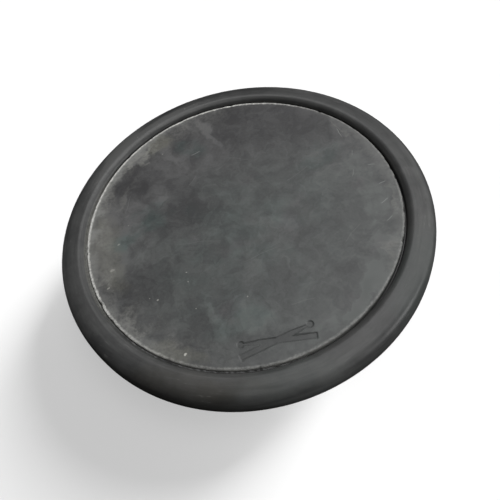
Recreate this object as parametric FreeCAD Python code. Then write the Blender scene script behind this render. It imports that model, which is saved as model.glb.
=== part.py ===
"""Drum practice pad with an 8 inch rubber playing disc, modelled in millimetres.

+Z is up, and the pad's axis is Z. The origin is the middle of the plane that the feet rest on.
The emblem on the playing disc is on the -Y side, which faces the player.
Each piece has its own function, and main() writes one STEP file per piece.
"""

import FreeCAD, Part
import math
import os

from FreeCAD import Vector

# Driving dimensions
PLAYING_RADIUS = 101.6  # an 8 inch playing surface
OUTER_RADIUS = 120.5
TOTAL_HEIGHT = 28.2  # from the feet to the crown of the rim
CROWN_RISE = 2.2  # how far the rim's crown stands above the playing surface
DISC_THICKNESS = 5.0
FOAM_THICKNESS = 3.0
BOARD_THICKNESS = 3.0
DECK_THICKNESS = 3.0
WALL = 2.5  # moulded walls of the bottom cover
FIT_GAP = 0.3  # clearance round a part that drops into another
GRIP_GAP = 0.2  # clearance round the frame where the rim ring grips it
SCREW_GAP = 0.02  # clearance round a screw in the boss that holds it

# Fullness of a quarter round: how far its curve's handles reach towards the corner
ELLIPSE = 0.5523
RIM_FULLNESS = 0.8  # the rim's outer side is squarer than an ellipse

# Levels, from the playing surface down
PLAYING_TOP = TOTAL_HEIGHT - CROWN_RISE
DISC_BOTTOM = PLAYING_TOP - DISC_THICKNESS
FOAM_BOTTOM = DISC_BOTTOM - FOAM_THICKNESS
DECK_TOP = FOAM_BOTTOM - BOARD_THICKNESS
DECK_BOTTOM = DECK_TOP - DECK_THICKNESS
COVER_BOTTOM = 4.0  # the feet lift the cover this far

# Playing disc, and the emblem of two crossed drumsticks pressed into it
DISC_EDGE_ROUND = 0.8
EMBLEM_CENTRE = 88.3  # distance from the pad's axis
EMBLEM_DEPTH = 0.6
STICK_LENGTH = 45.0
STICK_WIDTH = 3.6
STICK_NECK = 1.9  # width of the shaft where it meets the bead
STICK_TAPER_START = 7.0  # the shaft is parallel up to here, measured from its middle
STICK_ANGLE = 10.0  # each stick leans this many degrees
BEAD_RADIUS = 2.1

# Rim ring
LEDGE_INNER_RADIUS = 96.5  # the margin of the disc is glued to this ledge
GROOVE_FLOOR = 22.3
GROOVE_EDGE = 102.5
CROWN_RADIUS = 107.3
WALL_TOP = 14.9
WALL_BOTTOM = 13.0
LIP_BOTTOM = 10.0
LIP_INNER_RADIUS = 112.3
LIP_CHAMFER = 0.6

# Upper frame
FLANGE_RADIUS = 115.8  # the rim ring's lip hooks under this flange
RIB_INNER_RADIUS = 107.0  # an upright rib that stands inside the rim ring
RIB_OUTER_RADIUS = 110.0
RIB_TOP = 21.0
SPIGOT_RADIUS = 109.0  # a ring under the deck that centres the cover
SPIGOT_WALL = 2.0
SPIGOT_BOTTOM = 9.5
STIFFENER_COUNT = 12
STIFFENER_WALL = 2.0
STIFFENER_BOTTOM = 9.5
HUB_RADIUS = 14.0
HUB_BOTTOM = 8.5
BOSS_RADIUS = 5.0

# Bottom cover
COVER_RADIUS = 111.8
COVER_BAND = 3.0  # height of the upright band at the cover's top
FLOOR_RADIUS = 103.0
FLOOR_EDGE_RUN = 1.8  # the rounded edge between floor and taper
FLOOR_EDGE_RISE = 1.5
POST_TOP = 9.0
CASE_POST_RADIUS = 6.0

# Case screws: pan head, self-tapping
CASE_SCREW_COUNT = 6
CASE_SCREW_CIRCLE = 98.0
CASE_SCREW_START = 30.0
CASE_SCREW_SEAT = 7.0
SCREW_RADIUS = 1.75
SCREW_TIP = 14.0
PAN_HEAD_RADIUS = 3.4
PAN_HEAD_HEIGHT = 2.0
PAN_HEAD_SIDE = 0.8  # height of the upright part of the head
PAN_HEAD_FLAT = 1.6  # radius of the flat on top of the head
POINT_RADIUS = 0.7  # every screw's point is blunt
RECESS_DEPTH = 1.1

# Feet
FOOT_COUNT = 4
FOOT_CIRCLE = 84.0
FOOT_START = 45.0
FOOT_RADIUS = 9.0
FOOT_SOLE_RADIUS = 8.4
FOOT_TOP = 5.2
FOOT_SEAT_WALL = 2.0  # the cover's thickness above a foot
FOOT_WELL_RADIUS = 4.8
WASHER_RADIUS = 4.5
WASHER_HOLE_RADIUS = 1.95
WASHER_BOTTOM = 2.8
WASHER_TOP = 3.6

# Stand mount: an M8 bush held by a steel plate
PLATE_RADIUS = 28.0
PLATE_THICKNESS = 2.0
PLATE_TOP = COVER_BOTTOM + PLATE_THICKNESS
THREAD_RADIUS = 3.4  # half the M8 tapping diameter
THREAD_CHAMFER = 0.8
BARREL_RADIUS = 7.0
BUSH_FLANGE_RADIUS = 11.0
BUSH_FLANGE_TOP = 8.0
BUSH_HEX_FLATS = 14.0
BUSH_TOP = 14.8
MOUNT_SCREW_COUNT = 3
MOUNT_SCREW_CIRCLE = 20.5
MOUNT_SCREW_START = 90.0
MOUNT_SCREW_RADIUS = 2.0
MOUNT_SCREW_TIP = 13.5
MOUNT_HEAD_RADIUS = 3.75
MOUNT_BOSS_RADIUS = 5.5


def point(radius, height):
    """A point of a section. Sections are drawn in the XZ plane."""
    return Vector(radius, 0, height)


def lines(*corners):
    """Straight edges through corners, each given as (radius, height)."""
    points = [point(*corner) for corner in corners]
    return [Part.LineSegment(a, b).toShape() for a, b in zip(points, points[1:])]


def quarter(start, corner, end, fullness=ELLIPSE):
    """A quarter round from start to end, which heads for corner at both ends. A fuller one is squarer."""
    first = point(*start)
    last = point(*end)
    aim = point(*corner)
    curve = Part.BezierCurve()
    curve.setPoles([first, first + (aim - first) * fullness, last + (aim - last) * fullness, last])
    return [curve.toShape()]


def revolve(edges):
    """The solid that a closed section makes as it turns about Z."""
    face = Part.Face(Part.Wire(edges))
    return face.revolve(Vector(0, 0, 0), Vector(0, 0, 1), 360)


def cylinder(radius, bottom, top, centre=(0, 0)):
    return Part.makeCylinder(radius, top - bottom, Vector(*centre, bottom))


def cone(bottom_radius, top_radius, bottom, top, centre=(0, 0)):
    return Part.makeCone(bottom_radius, top_radius, top - bottom, Vector(*centre, bottom))


def tube(inner_radius, outer_radius, bottom, top):
    return cylinder(outer_radius, bottom, top).cut(cylinder(inner_radius, bottom, top))


def prism(points, top):
    """A flat outline, extruded up to the level top."""
    face = Part.Face(Part.makePolygon(points + points[:1]))
    return face.extrude(Vector(0, 0, top - points[0].z))


def on_circle(count, radius, start=0.0):
    """Evenly spaced places on a circle, as (x, y)."""
    angles = [math.radians(start + 360.0 * i / count) for i in range(count)]
    return [(radius * math.cos(a), radius * math.sin(a)) for a in angles]


def hex_prism(across_flats, bottom, top):
    corner_radius = across_flats / 2.0 / math.cos(math.pi / 6.0)
    return prism([Vector(x, y, bottom) for x, y in on_circle(6, corner_radius)], top)


def fuse_all(shapes):
    return shapes[0].multiFuse(shapes[1:]).removeSplitter()


def cut_all(shape, tools):
    return shape.cut(tools).removeSplitter()


def copies(shape, places):
    """One compound with a copy of shape at each place."""
    return Part.makeCompound([shape.translated(Vector(x, y, 0)) for x, y in places])


def case_screw_places():
    return on_circle(CASE_SCREW_COUNT, CASE_SCREW_CIRCLE, CASE_SCREW_START)


def foot_places():
    return on_circle(FOOT_COUNT, FOOT_CIRCLE, FOOT_START)


def mount_screw_places():
    return on_circle(MOUNT_SCREW_COUNT, MOUNT_SCREW_CIRCLE, MOUNT_SCREW_START)


def drumstick():
    """One stick of the emblem, lying along X: a tapered shaft with a round bead at its +X end."""
    end = STICK_LENGTH / 2.0
    neck = end - 2.0 * BEAD_RADIUS
    half = STICK_WIDTH / 2.0
    half_neck = STICK_NECK / 2.0
    one_side = [(-end, half), (STICK_TAPER_START, half), (neck, half_neck), (end - BEAD_RADIUS, half_neck)]
    other_side = [(x, -y) for x, y in reversed(one_side)]
    shaft = prism([Vector(x, y, 0) for x, y in one_side + other_side], EMBLEM_DEPTH)
    bead = cylinder(BEAD_RADIUS, 0, EMBLEM_DEPTH, (end - BEAD_RADIUS, 0))
    return shaft.fuse(bead)


def emblem():
    """Two sticks that cross at a shallow angle, with their beads at opposite ends."""
    z_axis = Vector(0, 0, 1)
    place = Vector(0, -EMBLEM_CENTRE, PLAYING_TOP - EMBLEM_DEPTH)
    right = drumstick().rotated(Vector(0, 0, 0), z_axis, STICK_ANGLE)
    left = drumstick().rotated(Vector(0, 0, 0), z_axis, 180.0 - STICK_ANGLE)
    return right.fuse(left).translated(place)


def playing_disc():
    """Rubber disc with a rounded upper edge and the emblem pressed into it."""
    side_top = PLAYING_TOP - DISC_EDGE_ROUND
    flat_radius = PLAYING_RADIUS - DISC_EDGE_ROUND
    lower = lines((flat_radius, PLAYING_TOP), (0, PLAYING_TOP), (0, DISC_BOTTOM),
                  (PLAYING_RADIUS, DISC_BOTTOM), (PLAYING_RADIUS, side_top))
    edge = quarter((PLAYING_RADIUS, side_top), (PLAYING_RADIUS, PLAYING_TOP), (flat_radius, PLAYING_TOP))
    return cut_all(revolve(lower + edge), [emblem()])


def rim_ring():
    """Moulded rubber ring: ledge under the disc, groove round it, crown, and a lip that hooks the frame."""
    recess = PLAYING_RADIUS + FIT_GAP
    under_edge = OUTER_RADIUS - (WALL_BOTTOM - LIP_BOTTOM)
    inside = lines((LEDGE_INNER_RADIUS, DECK_TOP), (LEDGE_INNER_RADIUS, DISC_BOTTOM), (recess, DISC_BOTTOM),
                   (recess, GROOVE_FLOOR), (GROOVE_EDGE, GROOVE_FLOOR))
    inner_round = quarter((GROOVE_EDGE, GROOVE_FLOOR), (GROOVE_EDGE, TOTAL_HEIGHT),
                          (CROWN_RADIUS, TOTAL_HEIGHT))
    outer_round = quarter((CROWN_RADIUS, TOTAL_HEIGHT), (OUTER_RADIUS, TOTAL_HEIGHT),
                          (OUTER_RADIUS, WALL_TOP), RIM_FULLNESS)
    wall = lines((OUTER_RADIUS, WALL_TOP), (OUTER_RADIUS, WALL_BOTTOM))
    under_round = quarter((OUTER_RADIUS, WALL_BOTTOM), (OUTER_RADIUS, LIP_BOTTOM), (under_edge, LIP_BOTTOM))
    flange_slot = FLANGE_RADIUS + GRIP_GAP
    lip = lines((under_edge, LIP_BOTTOM), (LIP_INNER_RADIUS + LIP_CHAMFER, LIP_BOTTOM),
                (LIP_INNER_RADIUS, LIP_BOTTOM + LIP_CHAMFER), (LIP_INNER_RADIUS, DECK_BOTTOM),
                (flange_slot, DECK_BOTTOM), (flange_slot, DECK_TOP), (LEDGE_INNER_RADIUS, DECK_TOP))
    ring = revolve(inside + inner_round + outer_round + wall + under_round + lip)
    rib_slot = tube(RIB_INNER_RADIUS - GRIP_GAP, RIB_OUTER_RADIUS + GRIP_GAP, DECK_TOP, RIB_TOP + GRIP_GAP)
    return cut_all(ring, [rib_slot])


def foam_cushion():
    return cylinder(LEDGE_INNER_RADIUS - FIT_GAP, FOAM_BOTTOM, DISC_BOTTOM)


def backing_board():
    return cylinder(LEDGE_INNER_RADIUS - FIT_GAP, DECK_TOP, FOAM_BOTTOM)


def stiffeners():
    """Radial ribs under the deck, from the hub to the spigot."""
    inner = HUB_RADIUS - STIFFENER_WALL
    length = SPIGOT_RADIUS - SPIGOT_WALL / 2.0 - inner
    corner = Vector(inner, -STIFFENER_WALL / 2.0, STIFFENER_BOTTOM)
    rib = Part.makeBox(length, STIFFENER_WALL, DECK_BOTTOM - STIFFENER_BOTTOM, corner)
    step = 360.0 / STIFFENER_COUNT
    return [rib.rotated(Vector(0, 0, 0), Vector(0, 0, 1), step * (i + 0.5)) for i in range(STIFFENER_COUNT)]


def upper_frame():
    """Moulded deck under the board, with its flange, rib, spigot, stiffeners, hub and screw bosses."""
    deck = cylinder(FLANGE_RADIUS, DECK_BOTTOM, DECK_TOP)
    rib = tube(RIB_INNER_RADIUS, RIB_OUTER_RADIUS, DECK_BOTTOM, RIB_TOP)
    spigot = tube(SPIGOT_RADIUS - SPIGOT_WALL, SPIGOT_RADIUS, SPIGOT_BOTTOM, DECK_TOP)
    hub = cylinder(HUB_RADIUS, HUB_BOTTOM, DECK_TOP)
    case_bosses = [cylinder(BOSS_RADIUS, POST_TOP, DECK_TOP, c) for c in case_screw_places() + foot_places()]
    mount_bosses = [cylinder(MOUNT_BOSS_RADIUS, HUB_BOTTOM, DECK_TOP, c) for c in mount_screw_places()]
    body = fuse_all([deck, rib, spigot, hub] + stiffeners() + case_bosses + mount_bosses)
    bush_socket = hex_prism(BUSH_HEX_FLATS + FIT_GAP, HUB_BOTTOM, DECK_TOP)
    case_holes = [cylinder(SCREW_RADIUS + SCREW_GAP, POST_TOP, SCREW_TIP + FIT_GAP, c)
                  for c in case_screw_places() + foot_places()]
    mount_holes = [cylinder(MOUNT_SCREW_RADIUS + SCREW_GAP, HUB_BOTTOM, MOUNT_SCREW_TIP + FIT_GAP, c)
                   for c in mount_screw_places()]
    return cut_all(body, [bush_socket] + case_holes + mount_holes)


def cover_shell():
    """The cover's dished shell: floor, rounded edge, taper and upright band."""
    band_bottom = DECK_BOTTOM - COVER_BAND
    floor_top = COVER_BOTTOM + WALL
    floor_edge = FLOOR_RADIUS - FLOOR_EDGE_RUN
    taper_start = (FLOOR_RADIUS + FLOOR_EDGE_RUN, COVER_BOTTOM + FLOOR_EDGE_RISE)
    inside = COVER_RADIUS - WALL
    edge = quarter((floor_edge, COVER_BOTTOM), (FLOOR_RADIUS, COVER_BOTTOM), taper_start)
    rest = lines(taper_start, (COVER_RADIUS, band_bottom), (COVER_RADIUS, DECK_BOTTOM), (inside, DECK_BOTTOM),
                 (inside, band_bottom), (FLOOR_RADIUS, floor_top), (0, floor_top), (0, COVER_BOTTOM),
                 (floor_edge, COVER_BOTTOM))
    return revolve(edge + rest)


def bottom_cover():
    """Lower case half, with posts for the case screws and seats for the feet and the mount plate."""
    posts = [cylinder(CASE_POST_RADIUS, COVER_BOTTOM, POST_TOP, c) for c in case_screw_places()]
    posts += [cylinder(BOSS_RADIUS, COVER_BOTTOM, POST_TOP, c) for c in foot_places()]
    foot_seats = [cylinder(FOOT_RADIUS + WALL, COVER_BOTTOM, FOOT_TOP + FOOT_SEAT_WALL, c)
                  for c in foot_places()]
    plate_seat = cylinder(PLATE_RADIUS + WALL, COVER_BOTTOM, HUB_BOTTOM)
    body = fuse_all([cover_shell(), plate_seat] + posts + foot_seats)
    hole_radius = SCREW_RADIUS + FIT_GAP
    cuts = [cylinder(PLATE_RADIUS + FIT_GAP, COVER_BOTTOM, PLATE_TOP),
            cylinder(BUSH_FLANGE_RADIUS + FIT_GAP, COVER_BOTTOM, HUB_BOTTOM)]
    for centre in case_screw_places():
        cuts.append(cylinder(PAN_HEAD_RADIUS + FIT_GAP, COVER_BOTTOM, CASE_SCREW_SEAT, centre))
        cuts.append(cylinder(hole_radius, CASE_SCREW_SEAT, POST_TOP, centre))
    for centre in foot_places():
        cuts.append(cylinder(FOOT_RADIUS + FIT_GAP, COVER_BOTTOM, FOOT_TOP, centre))
        cuts.append(cylinder(hole_radius, FOOT_TOP, POST_TOP, centre))
    for centre in mount_screw_places():
        cuts.append(cylinder(MOUNT_SCREW_RADIUS + FIT_GAP, PLATE_TOP, HUB_BOTTOM, centre))
    return cut_all(body, cuts)


def cross_recess(width, bottom):
    """The cross that a driver fits, cut up into a head whose face is at bottom."""
    slot = width / 4.0
    bars = [Part.makeBox(w, d, RECESS_DEPTH, Vector(-w / 2.0, -d / 2.0, bottom))
            for w, d in ((width, slot), (slot, width))]
    return bars[0].fuse(bars[1])


def pan_screw(seat):
    """Screw on Z that points up, with its domed head hanging below the level seat."""
    face = seat - PAN_HEAD_HEIGHT
    side_bottom = seat - PAN_HEAD_SIDE
    shank = lines((PAN_HEAD_FLAT, face), (0, face), (0, SCREW_TIP), (POINT_RADIUS, SCREW_TIP),
                  (SCREW_RADIUS, SCREW_TIP - SCREW_RADIUS), (SCREW_RADIUS, seat),
                  (PAN_HEAD_RADIUS, seat), (PAN_HEAD_RADIUS, side_bottom))
    dome = quarter((PAN_HEAD_RADIUS, side_bottom), (PAN_HEAD_RADIUS, face), (PAN_HEAD_FLAT, face))
    return cut_all(revolve(shank + dome), [cross_recess(PAN_HEAD_RADIUS, face)])


def case_screws():
    return copies(pan_screw(CASE_SCREW_SEAT), case_screw_places())


def foot_screws():
    return copies(pan_screw(WASHER_BOTTOM), foot_places())


def foot_washers():
    return copies(tube(WASHER_HOLE_RADIUS, WASHER_RADIUS, WASHER_BOTTOM, WASHER_TOP), foot_places())


def rubber_feet():
    """Round feet, each with a deep well for the screw's head and washer."""
    foot = cone(FOOT_SOLE_RADIUS, FOOT_RADIUS, 0, FOOT_TOP)
    well = cylinder(FOOT_WELL_RADIUS, 0, WASHER_TOP)
    hole = cylinder(WASHER_HOLE_RADIUS, WASHER_TOP, FOOT_TOP)
    return copies(cut_all(foot, [well, hole]), foot_places())


def mount_plate():
    """Round steel plate with a middle hole for the bush and countersunk holes for its screws."""
    plate = cylinder(PLATE_RADIUS, COVER_BOTTOM, PLATE_TOP)
    middle = cylinder(BARREL_RADIUS, COVER_BOTTOM, PLATE_TOP)
    countersinks = [cone(MOUNT_HEAD_RADIUS + SCREW_GAP, MOUNT_SCREW_RADIUS + SCREW_GAP, COVER_BOTTOM,
                         PLATE_TOP, c) for c in mount_screw_places()]
    return cut_all(plate, [middle] + countersinks)


def mount_bush():
    """M8 bush: a barrel in the plate, a flange above it, and a hexagon that the frame keys."""
    barrel = cylinder(BARREL_RADIUS, COVER_BOTTOM, PLATE_TOP)
    flange = cylinder(BUSH_FLANGE_RADIUS, PLATE_TOP, BUSH_FLANGE_TOP)
    key = hex_prism(BUSH_HEX_FLATS, BUSH_FLANGE_TOP, BUSH_TOP)
    bore = cylinder(THREAD_RADIUS, COVER_BOTTOM, BUSH_TOP)
    chamfer = cone(THREAD_RADIUS + THREAD_CHAMFER, THREAD_RADIUS, COVER_BOTTOM, COVER_BOTTOM + THREAD_CHAMFER)
    return cut_all(fuse_all([barrel, flange, key]), [bore, chamfer])


def mount_screws():
    """Countersunk screws that point up, with their flat heads flush with the plate."""
    section = lines((0, COVER_BOTTOM), (MOUNT_HEAD_RADIUS, COVER_BOTTOM), (MOUNT_SCREW_RADIUS, PLATE_TOP),
                    (MOUNT_SCREW_RADIUS, MOUNT_SCREW_TIP - MOUNT_SCREW_RADIUS),
                    (POINT_RADIUS, MOUNT_SCREW_TIP), (0, MOUNT_SCREW_TIP), (0, COVER_BOTTOM))
    screw = cut_all(revolve(section), [cross_recess(MOUNT_HEAD_RADIUS, COVER_BOTTOM)])
    return copies(screw, mount_screw_places())


PIECES = (playing_disc, rim_ring, foam_cushion, backing_board, upper_frame, bottom_cover, case_screws,
          rubber_feet, foot_washers, foot_screws, mount_plate, mount_bush, mount_screws)


def main():
    os.makedirs("parts", exist_ok=True)
    for piece in PIECES:
        piece().exportStep("parts/" + piece.__name__ + ".step")


main()
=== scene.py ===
"""Looks for the drum practice pad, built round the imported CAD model, in metres.

The pad's axis is Z, and the emblem is on the -Y side. Angles are in degrees, counter-clockwise from +X.
Sizes below are in millimetres, and turn into metres where a mesh is made. Soft pieces are rebuilt here as
detailed meshes, and the rigid CAD nodes keep their meshes and get finished materials.
"""

import math
import random

import bpy
from mathutils import Matrix, Vector, noise


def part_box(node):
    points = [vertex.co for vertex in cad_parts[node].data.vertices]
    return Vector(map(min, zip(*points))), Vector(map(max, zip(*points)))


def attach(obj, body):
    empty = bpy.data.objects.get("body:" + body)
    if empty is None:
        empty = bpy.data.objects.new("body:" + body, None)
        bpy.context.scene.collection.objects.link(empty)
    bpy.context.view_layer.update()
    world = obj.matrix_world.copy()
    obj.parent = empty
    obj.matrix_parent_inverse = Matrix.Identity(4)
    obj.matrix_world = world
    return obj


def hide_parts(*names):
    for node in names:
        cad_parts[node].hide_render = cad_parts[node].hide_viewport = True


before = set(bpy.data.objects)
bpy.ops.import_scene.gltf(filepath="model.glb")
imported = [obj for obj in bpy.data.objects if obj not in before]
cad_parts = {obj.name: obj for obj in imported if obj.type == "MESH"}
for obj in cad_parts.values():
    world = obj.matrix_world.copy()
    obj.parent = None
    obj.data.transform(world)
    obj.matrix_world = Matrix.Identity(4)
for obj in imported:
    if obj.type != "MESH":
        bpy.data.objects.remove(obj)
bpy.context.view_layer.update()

MM = 0.001


def node_span(name):
    """A CAD node's outer radius, bottom and top, in millimetres."""
    low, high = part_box(name)
    return high.x / MM, low.z / MM, high.z / MM


RIM_RADIUS, RIM_BOTTOM, RIM_TOP = node_span("rim_ring")
DISC_RADIUS, DISC_BOTTOM, DISC_TOP = node_span("playing_disc")
FOAM_RADIUS, FOAM_BOTTOM, FOAM_TOP = node_span("foam_cushion")
BOARD_RADIUS, DECK_TOP, BOARD_TOP = node_span("backing_board")
FLANGE_RADIUS, _, RIB_TOP = node_span("upper_frame")
COVER_RADIUS, _, DECK_BOTTOM = node_span("bottom_cover")

# A quarter round's handles reach this part of the way to its corner
ELLIPSE_FULLNESS = 0.5523
RIM_FULLNESS = 0.8

# Rim section
FIT_GAP = 0.3
GRIP_GAP = 0.2
LIP_GAP = 0.5
GROOVE_DEPTH = 3.7  # below the playing surface
GROOVE_WIDTH = 0.6
INNER_ROUND = 4.8
WALL_TOP = 14.9
WALL_BOTTOM = 13.0
UNDER_ROUND = 3.0
LIP_CHAMFER = 0.6
RIB_INNER_RADIUS = 107.0
RIB_OUTER_RADIUS = 110.0
RECESS_RADIUS = DISC_RADIUS + FIT_GAP
GROOVE_RADIUS = RECESS_RADIUS + GROOVE_WIDTH
GROOVE_FLOOR = DISC_TOP - GROOVE_DEPTH
CROWN_RADIUS = GROOVE_RADIUS + INNER_ROUND
PACKED_ANGLE = 205  # the side where dust fills the groove
PACKED_DEPTH = 2.1

# Disc
EDGE_ROUND = 0.8
EDGE_BAND = 2.5  # the margin that gets worn
# Nicks in its edge, as how many, and from and to for angle, width in degrees and depth
NICKS = (
    (36, (0, 360), (0.5, 1.4), (0.1, 0.3)),
    (14, (-35, 12), (0.6, 1.6), (0.2, 0.5)),
    (8, (165, 200), (0.6, 1.4), (0.2, 0.45)),
)
EMBLEM_CENTRE = 88.3
EMBLEM_INNER = EMBLEM_CENTRE - 7  # from here to the next radius its rows are fine
EMBLEM_OUTER = EMBLEM_CENTRE + 7.6
EMBLEM_DEPTH = 0.6
STICK_LENGTH = 45.0
STICK_WIDTH = 3.6
STICK_NECK = 1.9
STICK_TAPER_START = 7.0
STICK_ANGLE = 10.0
BEAD_RADIUS = 2.1

# Foam and board
FOAM_BELLY = 0.9
CELL_SIZE = 0.55
PLIES = 5

# Feet
FOOT_COUNT = 4
FOOT_CIRCLE = 84.0
FOOT_RADIUS = 9.0
FOOT_SOLE_RADIUS = 8.4
FOOT_EDGE_ROUND = 0.9
FOOT_DRAFT = 0.1
FOOT_TOP = 5.2
FOOT_WELL_RADIUS = 4.8
FOOT_WELL_TOP = 3.6
FOOT_WELL_CHAMFER = 0.3
FOOT_HOLE_RADIUS = 1.95
TREAD_RADII = (7.0, 5.9)
TREAD_WIDTH = 0.5
TREAD_FLOOR = 0.24
TREAD_DEPTH = 0.35

SHARP_DEGREES = 35  # a fold sharper than this keeps a hard edge
# How finely the soft pieces are meshed, in columns round the axis or degrees between them
RIM_COLUMNS = 900
FOAM_COLUMNS = 480
FOOT_COLUMNS = 72
EMBLEM_STEP = 0.2
PLAIN_STEP = 0.5
EMBLEM_SIDE = 270  # -Y, in the middle of the fine columns
EMBLEM_HALF_ANGLE = 16

# Camera
CAMERA_ELEVATION = 56.9
CAMERA_DISTANCE = 2.906  # in rim radii, from the middle of the playing surface
CAMERA_UPWARDS = -0.186  # in rim radii, along the picture's height before it rolls
CAMERA_ROLL = -16.6
LENS = 39.6
SENSOR_WIDTH = 36

# Stage
FLOOR_HALF = 4000
FLOOR_DROP = 0.2  # under the feet
FLOOR_GLOW = 0.425  # how bright the camera sees it in full shadow
FLOOR_SHADE = 0.15
FLOOR_SUN_AZIMUTH = 40
FLOOR_SUN_ELEVATION = 5
FLOOR_SUN_WIDTH = 20
FLOOR_SUN_ENERGY = 113
SKY_CORE = 0.55  # the part of a sky light's half width that has its full strength
# Soft patches of light in the sky, each as azimuth, elevation, half width in degrees and strength
SKY_LIGHTS = (
    (330, 5, 16, 7.0),  # low softbox on the right, and its falloff to each side
    (0, 5, 16, 3.0),
    (300, 5, 16, 1.2),
    (60, 5, 16, 0.8),
    (150, 5, 16, 0.5),  # faint low light behind on the left
    (30, 20, 18, 1.8),
    (0, 42, 24, 2.0),  # middle height, strong on the right and faint behind
    (60, 42, 24, 0.5),
    (120, 42, 24, 0.4),
    (60, 64, 22, 3.0),  # overhead pair, with weaker lights between and on the left
    (300, 64, 22, 2.3),
    (0, 64, 22, 1.3),
    (120, 64, 22, 0.3),
)


# ---------------------------------------------------------------- meshes

def put_in_scene(name, data):
    """A new object in the scene for a mesh, a light or a camera."""
    item = bpy.data.objects.new(name, data)
    bpy.context.scene.collection.objects.link(item)
    return item


def mesh_piece(name, points, faces):
    """A smooth-shaded piece from points in millimetres."""
    mesh = bpy.data.meshes.new(name)
    mesh.from_pydata([(x * MM, y * MM, z * MM) for x, y, z in points], [], faces)
    mesh.shade_smooth()
    mesh.set_sharp_from_angle(angle=math.radians(SHARP_DEGREES))
    mesh.validate()
    return put_in_scene(name, mesh)


def straights(step, *corners):
    """Points along straight lines from corner to corner, about step apart, without the last corner."""
    points = []
    for start, end in zip(corners, corners[1:]):
        count = max(1, round(math.dist(start, end) / step))
        points += [tuple(a + (b - a) * i / count for a, b in zip(start, end)) for i in range(count)]
    return points


def quarter(start, corner, end, count, fullness=ELLIPSE_FULLNESS):
    """Points of a quarter round from start up to end, aimed at corner, without end itself."""
    points = []
    for i in range(count):
        t = i / count
        first, second, third, fourth = (1 - t) ** 3, 3 * t * (1 - t) ** 2, 3 * t * t * (1 - t), t ** 3
        points.append(tuple(s * (first + second * (1 - fullness)) + c * fullness * (second + third)
                            + e * (fourth + third * (1 - fullness))
                            for s, c, e in zip(start, corner, end)))
    return points


def on_circle(radius, angle):
    """x and y at a radius from the axis, on the side that an angle faces."""
    a = math.radians(angle)
    return radius * math.cos(a), radius * math.sin(a)


def revolve(section, angles, shape, closed):
    """Points and faces of a section turned about Z. shape moves a point, given as radius, height and angle.

    A closed section makes a ring. An open one starts and ends on the axis, and makes a solid disc.
    """
    points = []
    faces = []
    rows = section if closed else section[1:-1]
    columns = len(angles)
    for radius, height in rows:
        for angle in angles:
            moved, z = shape(radius, height, angle)
            points.append((*on_circle(moved, angle), z))
    bands = len(rows) if closed else len(rows) - 1
    for row in range(bands):
        here = row * columns
        there = (row + 1) % len(rows) * columns
        for column in range(columns):
            after = (column + 1) % columns
            faces.append((here + column, there + column, there + after, here + after))
    if not closed:
        first = len(points)
        points += [(0, 0, section[0][1]), (0, 0, section[-1][1])]
        last_row = (len(rows) - 1) * columns
        for column in range(columns):
            after = (column + 1) % columns
            faces.append((first, column, after))
            faces.append((first + 1, last_row + after, last_row + column))
    return points, faces


def bumps(x, y, z, size, seed=0.0):
    """Smooth noise from about -1 to 1, with bumps about size millimetres across."""
    return noise.noise(Vector((x / size + seed, y / size - seed, z / size)))


def smooth(value, start, end):
    """0 at start, 1 at end, with a smooth rise between."""
    t = min(1.0, max(0.0, (value - start) / (end - start)))
    return t * t * (3 - 2 * t)


def even_angles(count):
    """Angles that share out a full turn."""
    return [360.0 * i / count for i in range(count)]


def direction(azimuth, elevation):
    """A vector from the pad to a light in the sky."""
    flat = math.cos(math.radians(elevation))
    return Vector((*on_circle(flat, azimuth), math.sin(math.radians(elevation))))


# ---------------------------------------------------------------- playing disc

def stick_distance(x, y):
    """Distance in millimetres to the outline of one emblem stick that lies along X. Negative is inside."""
    end = STICK_LENGTH / 2
    neck = end - 2 * BEAD_RADIUS
    taper = smooth(x, STICK_TAPER_START, neck)
    half = STICK_WIDTH / 2 + (STICK_NECK - STICK_WIDTH) / 2 * taper
    shaft = max(abs(y) - half, -end - x, x - (end - BEAD_RADIUS))
    bead = math.hypot(x - (end - BEAD_RADIUS), y) - BEAD_RADIUS
    return min(shaft, bead)


def emblem_depth(x, y):
    """How far the two crossed sticks are pressed in at a point of the disc."""
    nearest = BEAD_RADIUS
    for lean in (STICK_ANGLE, 180.0 - STICK_ANGLE):
        a = math.radians(lean)
        along = x * math.cos(a) + (y + EMBLEM_CENTRE) * math.sin(a)
        across = (y + EMBLEM_CENTRE) * math.cos(a) - x * math.sin(a)
        nearest = min(nearest, stick_distance(along, across))
    return EMBLEM_DEPTH * (1 - smooth(nearest, -0.35, 0.2))


def edge_nicks():
    """Small dents round the disc's edge, as (angle, width in degrees, depth in millimetres)."""
    pick = random.Random(7)
    return [tuple(pick.uniform(*span) for span in spans) for count, *spans in NICKS for _ in range(count)]


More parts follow.
